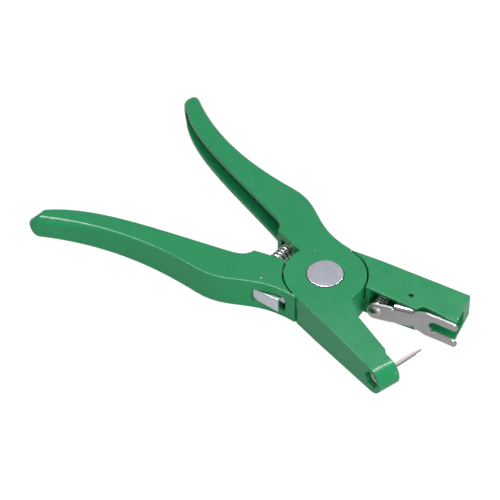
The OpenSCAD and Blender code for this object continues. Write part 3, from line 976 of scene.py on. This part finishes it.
    def sheet(self, side: float) -> Patch:
        """One half of the flat sheet: front(u) deep, from the slot to the edge in height.

        Args:
            side: 1 for the upper half, -1 for the lower one.

        Returns:
            The patch, facing the other jaw.
        """
        u = self.stations()[:, None]
        share = np.linspace(0, 1, 9)[None]
        height = self.slot_half(u) * (1 - share) + self.half_height(u) * share
        grid = Jaw.CLIP.spot(u, self.front(u), MID_Z + side * height)
        return grid_patch(grid[::-1] if side > 0 else grid)

    def ear(self, side: float) -> Patch:
        """One ear: a quarter roll from the sheet's edge, then flat to a round end, with the pin's hole.

        The flat part runs in straight lines from its outline to the hole. The outline is the end of
        the roll, two straight sides and a half circle about the pin.

        Args:
            side: 1 for the upper ear, -1 for the lower one.

        Returns:
            The patch, facing away from the middle.
        """
        low, high = self.ears()
        u = self.stations()
        base = u[(u >= low - 1e-9) & (u <= high + 1e-9)]
        a = np.linspace(0, np.pi / 2, 9)[:, None]
        roll = Jaw.CLIP.spot(base, self.front(base) + self.ear_roll * (1 - np.cos(a)),
                             MID_Z + side * (self.ear_h / 2 - self.ear_roll * (1 - np.sin(a))))
        pin = np.array([self.hinge_u, self.hinge_v])
        b = np.linspace(0, np.pi, 17)
        root = np.stack([base, self.front(base) + self.ear_roll], -1)
        end = pin + self.ear_end * np.stack([np.cos(b), np.sin(b)], -1)
        climb = np.linspace(0, 1, 8)[1:-1, None]
        rise, fall = root[-1] + climb * (end[0] - root[-1]), end[-1] + climb * (root[0] - end[-1])
        outline = np.vstack([root, rise, end, fall])
        out = outline - pin
        hole = pin + self.hinge_hole_r * out / np.linalg.norm(out, axis=1, keepdims=True)
        share = np.linspace(0, 1, 6)[:, None, None]
        ring = outline * (1 - share) + hole * share
        flat = Jaw.CLIP.spot(ring[..., 0], ring[..., 1], MID_Z + side * self.ear_h / 2)
        if side < 0:
            roll, flat = roll[:, ::-1], flat[:, ::-1]
        return Patch.joined([grid_patch(roll), grid_patch(flat, wrap=True)])

    def rivet(self) -> Patch:
        """The rivet: a spherical cap of the dome's radius and height on a shank through the sheet.

        Returns:
            The patch, square to the sheet's rear.
        """
        ball = (self.dome_r ** 2 + self.dome_h ** 2) / (2 * self.dome_h)
        a = np.linspace(math.asin(self.dome_r / ball) * 0.96, 0.004, 20)
        cap = np.stack([ball * np.sin(a), self.dome_h - ball + ball * np.cos(a)], -1)
        foot = -self.sheet_t - self.tail
        under = np.array([
            [AXIS_R, foot],
            [self.tail_end_r, foot],
            [self.rivet_r, foot + self.tail_cut],
            [self.rivet_r, 0.0],
            [self.dome_foot_r, 0.0],
            [self.dome_r, self.dome_foot_h],
        ])
        slope = math.atan2(self.bend_v - self.rear_v, self.bend_u - self.rear_u)
        turn = frame_along(Jaw.CLIP.way(math.sin(slope), -math.cos(slope)))
        seat = Jaw.CLIP.spot(self.rivet_u, self.front(self.rivet_u))
        return revolved(np.vstack([under, cap]), 64).moved(turn, seat)

    def hinge_pin(self) -> Patch:
        """The hinge pin: a plain round pin across the jaw, with its ends' edges rounded.

        Returns:
            The patch.
        """
        low, high = self.hinge_low, BODY_T - self.hinge_low
        line = rounded([
            (AXIS_R, low, 0),
            (self.hinge_r, low, self.hinge_edge),
            (self.hinge_r, high, self.hinge_edge),
            (AXIS_R, high, 0),
        ])
        return revolved(line, 40).moved(np.eye(3), Jaw.CLIP.spot(self.hinge_u, self.hinge_v, 0.0))

    def build(self) -> None:
        """Rolls the sheet, turns the rivet and hinge pin, and winds the spring."""
        skin = Patch.joined([self.sheet(1), self.sheet(-1), self.ear(1), self.ear(-1)]).welded()
        sheet = add_piece("clip_sheet", skin, CLIP_STEEL, Place("clip", "clip_steel", "clip_plate"))
        wall = sheet.modifiers.new("wall", "SOLIDIFY")
        wall.thickness = self.sheet_t
        wall.offset = -1.0
        soften(sheet, self.edge, self.edge_angle)
        add_piece("clip_dome_rivet", self.rivet(), RIVET_STEEL, Place("clip", "clip_steel", "clip_rivet"))
        place = Place("clip_side", "pin_steel", "clip_hinge_pin")
        # The pin's near-black steel is painted shade for its holes.
        add_piece("clip_pin", self.hinge_pin(), HINGE_SHADE_STEEL, place)
        seat = self.front(self.rivet_u) + self.sheet_t + self.coil_gap
        CoilSpring("clip_coil", "clip_spring", Jaw.CLIP.spot(self.rivet_u, seat), Jaw.CLIP.way(0, 1),
                   self.hollow_v - seat, self.coil_r, self.wire, self.turns, "clip", "clip_side").build()


@dataclass
class TagPin:
    """The stepped applicator pin in the nose of the pin jaw, and the nut that holds it."""

    reach_u: float = 69.5 * MM
    nose_v: float = 10.2 * MM
    lean: float = math.radians(2.5)
    shank_r: float = 2.5 * MM
    shank_len: float = 10.0 * MM
    shank_edge: float = 0.35 * MM
    shoulder: float = 0.2 * MM
    shoulder_edge: float = 0.1 * MM
    base_r: float = 1.45 * MM
    base_edge: float = 0.3 * MM
    step_r: float = 1.15 * MM
    step_len: float = 0.6 * MM
    step_edge: float = 0.15 * MM
    length: float = 18.0 * MM
    tip_r: float = 0.75 * MM
    tip_end_r: float = 0.69 * MM
    tip_len: float = 4.5 * MM
    tip_edge: float = 0.5 * MM
    nut_af: float = 9.0 * MM
    nut_t: float = 4.0 * MM
    nut_depth: float = 10.3 * MM
    nut_fit: float = 0.05 * MM
    nut_lead: float = 0.3 * MM
    nut_corner: float = 0.55 * MM
    nut_face: float = 0.03 * MM
    nut_rim: float = 0.05 * MM

    def way(self) -> Array:
        """Direction of the pin, from the nose towards the clip."""
        return Jaw.PIN.way(-math.sin(self.lean), -math.cos(self.lean))

    def nut(self, steps: int = 96) -> Patch:
        """A hexagon nut about Z: at angle a the side lies at af / 2 / cos(a - nearest flat).

        Both ends are cut by a cone that meets the flats' middles, so that the corners are rounded off.

        Args:
            steps: Points in a turn.

        Returns:
            The closed patch, with its bore.
        """
        a = np.linspace(0, 2 * np.pi, steps, endpoint=False)
        side = self.nut_af / 2 / np.cos((a % (np.pi / 3)) - np.pi / 6)
        top, lead, face, corner = self.nut_t, self.nut_lead, self.nut_face, self.nut_corner
        bore, cut = self.shank_r + self.nut_fit, self.nut_af / 2
        mouth, rim, uncut = bore + lead, cut - self.nut_rim, self.nut_af
        level = np.array([lead, 0, 0, face, corner, top - corner, top - face, top, top, top - lead, lead])
        limit = np.array([bore, mouth, rim, cut, uncut, uncut, cut, rim, mouth, bore, bore])
        radius = np.minimum(side[None], limit[:, None])
        height = np.broadcast_to(level[:, None], radius.shape)
        return grid_patch(np.stack([radius * np.cos(a), radius * np.sin(a), height], -1), wrap=True)

    def build(self) -> None:
        """Turns the stepped pin and cuts the nut."""
        tip = self.length + self.tip_len
        line = rounded([
            (AXIS_R, -self.shank_len, 0),
            (self.shank_r, -self.shank_len, self.shank_edge),
            (self.shank_r, -self.shoulder, self.shoulder_edge),
            (self.base_r, self.step_len, self.base_edge),
            (self.step_r, self.length, self.step_edge),
            (self.tip_r, self.length + self.step_len, self.step_edge),
            (self.tip_end_r, tip, self.tip_edge),
            (AXIS_R, tip, 0),
        ])
        way, nose = self.way(), Jaw.PIN.spot(self.reach_u, self.nose_v)
        pin = revolved(line, 48).moved(frame_along(way), nose)
        add_piece("tag_pin", pin, PIN_STEEL, Place("pin_side", "pin_steel", "applicator_pin"))
        nut = self.nut().moved(frame_along(way, Jaw.PIN.way(1, 0)), nose - way * self.nut_depth)
        even(add_piece("tag_pin_nut", nut, NUT_STEEL, Place("pin_side", "nut_steel", "pin_nut")), 70)


# Studio

class Light(Enum):
    """What a lamp lights: everything, only highlights, or only matt colour."""

    FULL = "full"
    SHINE = "shine"
    MATT = "matt"


@dataclass(frozen=True)
class SoftBox:
    """A square lamp that looks at the pliers."""

    name: str
    place: tuple[float, float, float]
    side: float
    watts: float
    light: Light = Light.FULL

    def build(self) -> None:
        """Adds the lamp, aimed at the part's origin."""
        data = bpy.data.lights.new(self.name, "AREA")
        data.shape = "SQUARE"
        data.size = self.side
        data.energy = self.watts
        lamp = bpy.data.objects.new(self.name, data)
        lamp.location = self.place
        lamp.rotation_mode = "QUATERNION"
        lamp.rotation_quaternion = (-Vector(self.place)).to_track_quat("-Z", "Y")
        lamp.visible_diffuse = self.light is not Light.SHINE
        lamp.visible_glossy = self.light is not Light.MATT
        bpy.context.scene.collection.objects.link(lamp)


@dataclass
class Studio:
    """Pale floor, soft light, and the camera of the photograph."""

    azimuth: float = math.radians(40.2)
    pitch: float = math.radians(44.425)
    distance: float = 1392.0 * MM
    right: float = 41.35 * MM
    up: float = -13.13 * MM
    aim_z: float = 20.0 * MM
    lens: float = 182.25
    sensor: float = 36.0
    nearest: float = 0.05
    farthest: float = 50.0
    floor_half: float = 6.0
    floor_drop: float = 0.02 * MM
    floor_seen: Colour = (0.15, 0.152, 0.155)
    floor_glow: float = 0.95
    floor_mirror: float = 0.40
    floor_table: Colour = (0.75, 0.755, 0.76)
    world_mirror: float = 0.42
    world_matt: float = 0.13
    lamps: tuple[SoftBox, ...] = (
        SoftBox("key", (0.0, 0.0, 1.1), 1.6, 13.0, Light.MATT),
        SoftBox("crest_left", (-0.51, 0.02, 0.97), 0.2, 3.6, Light.SHINE),
        SoftBox("crest_end", (-0.22, 0.13, 1.05), 0.40, 15.0, Light.SHINE),
        SoftBox("crest_right", (0.05, 0.60, 0.91), 0.2, 7.5, Light.SHINE),
        SoftBox("front", (-0.20, -0.60, 0.95), 0.5, 1.0, Light.MATT),
        SoftBox("fill", (0.95, -0.35, 0.45), 0.6, 1.9),
        SoftBox("fill_matt", (0.95, -0.35, 0.46), 0.6, 4.0, Light.MATT),
    )

    def camera(self) -> None:
        """Places the camera: the pivot lies off its axis by the given steps right and up."""
        c, s = math.cos(self.pitch), math.sin(self.pitch)
        axis, up = np.array([0, c, -s]), np.array([0, s, c])
        away = self.distance * axis + self.right * np.array([1, 0, 0]) + self.up * up
        a = self.azimuth
        turn = np.array([[math.cos(a), -math.sin(a), 0], [math.sin(a), math.cos(a), 0], [0, 0, 1]])
        data = bpy.data.cameras.new("camera")
        data.lens = self.lens
        data.sensor_width = self.sensor
        data.clip_start, data.clip_end = self.nearest, self.farthest
        cam = bpy.data.objects.new("camera", data)
        cam.location = Vector(turn @ -away) + Vector((0, 0, self.aim_z))
        cam.rotation_mode = "QUATERNION"
        cam.rotation_quaternion = Vector(turn @ axis).to_track_quat("-Z", "Y")
        bpy.context.scene.collection.objects.link(cam)
        bpy.context.scene.camera = cam

    def floor(self) -> None:
        """Lays a wide floor that lights the part as a pale table and shows as white."""
        half = self.floor_half
        corners = [(-half, -half, 0), (half, -half, 0), (half, half, 0), (-half, half, 0)]
        mesh = bpy.data.meshes.new("floor")
        mesh.from_pydata(corners, [], [(0, 1, 2, 3)])
        obj = bpy.data.objects.new("floor", mesh)
        obj.location.z = -self.floor_drop
        bpy.context.scene.collection.objects.link(obj)
        mesh.materials.append(self.floor_material())

    def floor_material(self) -> bpy.types.Material:
        """The floor: white where it is seen, with the part's shadow, and a pale table for other light.

        Returns:
            The material. The camera and mirrors see a grey that also glows, less in mirrors.
        """
        tree = Tree("floor_white")
        tree.nodes.remove(tree.surface)
        path = tree.add("ShaderNodeLightPath").outputs
        matt = tree.add("ShaderNodeBsdfDiffuse", Color=(*self.floor_seen, 1))
        table = tree.add("ShaderNodeBsdfDiffuse", Color=(*self.floor_table, 1))
        strength = tree.level(path["Is Camera Ray"], self.floor_mirror, self.floor_glow)
        glow = tree.add("ShaderNodeEmission", Color=(1, 1, 1, 1), Strength=strength)
        both = tree.add("ShaderNodeAddShader")
        tree.links.new(matt.outputs[0], both.inputs[0])
        tree.links.new(glow.outputs[0], both.inputs[1])
        seen = path["Is Camera Ray"]
        for ray in ("Is Glossy Ray", "Is Transmission Ray"):
            seen = tree.paired("ShaderNodeMath", "MAXIMUM", seen, path[ray]).outputs[0]
        mix = tree.add("ShaderNodeMixShader")
        for socket, value in zip(mix.inputs, (seen, table.outputs[0], both.outputs[0])):
            tree.links.new(value, socket)
        tree.links.new(mix.outputs[0], tree.nodes["Material Output"].inputs["Surface"])
        return tree.material

    def world(self) -> None:
        """Light from all round: white for the camera, less in mirrors and little on matt faces."""
        world = bpy.data.worlds.new("studio")
        world.use_nodes = True
        nodes, links = world.node_tree.nodes, world.node_tree.links
        back = nodes["Background"]
        back.inputs["Color"].default_value = (1, 1, 1, 1)
        path = nodes.new("ShaderNodeLightPath")
        lit = nodes.new("ShaderNodeMapRange")
        lit.inputs["To Min"].default_value = self.world_mirror
        lit.inputs["To Max"].default_value = self.world_matt
        links.new(path.outputs["Is Diffuse Ray"], lit.inputs["Value"])
        level = nodes.new("ShaderNodeMapRange")
        level.inputs["To Max"].default_value = 1.0
        links.new(lit.outputs["Result"], level.inputs["To Min"])
        links.new(path.outputs["Is Camera Ray"], level.inputs["Value"])
        links.new(level.outputs["Result"], back.inputs["Strength"])
        bpy.context.scene.world = world

    def build(self) -> None:
        """Sets up camera, floor, world and lamps."""
        self.camera()
        self.floor()
        self.world()
        for lamp in self.lamps:
            lamp.build()
        bpy.context.scene.view_settings.view_transform = "Standard"


def main() -> None:
    """Builds the pliers piece by piece, then the studio."""
    logging.basicConfig(level=logging.INFO, format="%(name)s %(message)s")
    Lever("clip_lever_casting", "clip_lever", "clip_side", GREEN_PAINT).build()
    Lever("pin_lever_casting", "pin_lever", "pin_side", MARKED_PAINT).build()
    for group in (Pivot(), ReturnSpring(), Latch(), Clip(), TagPin(), Studio()):
        group.build()

if __name__ == "__main__":
    main()
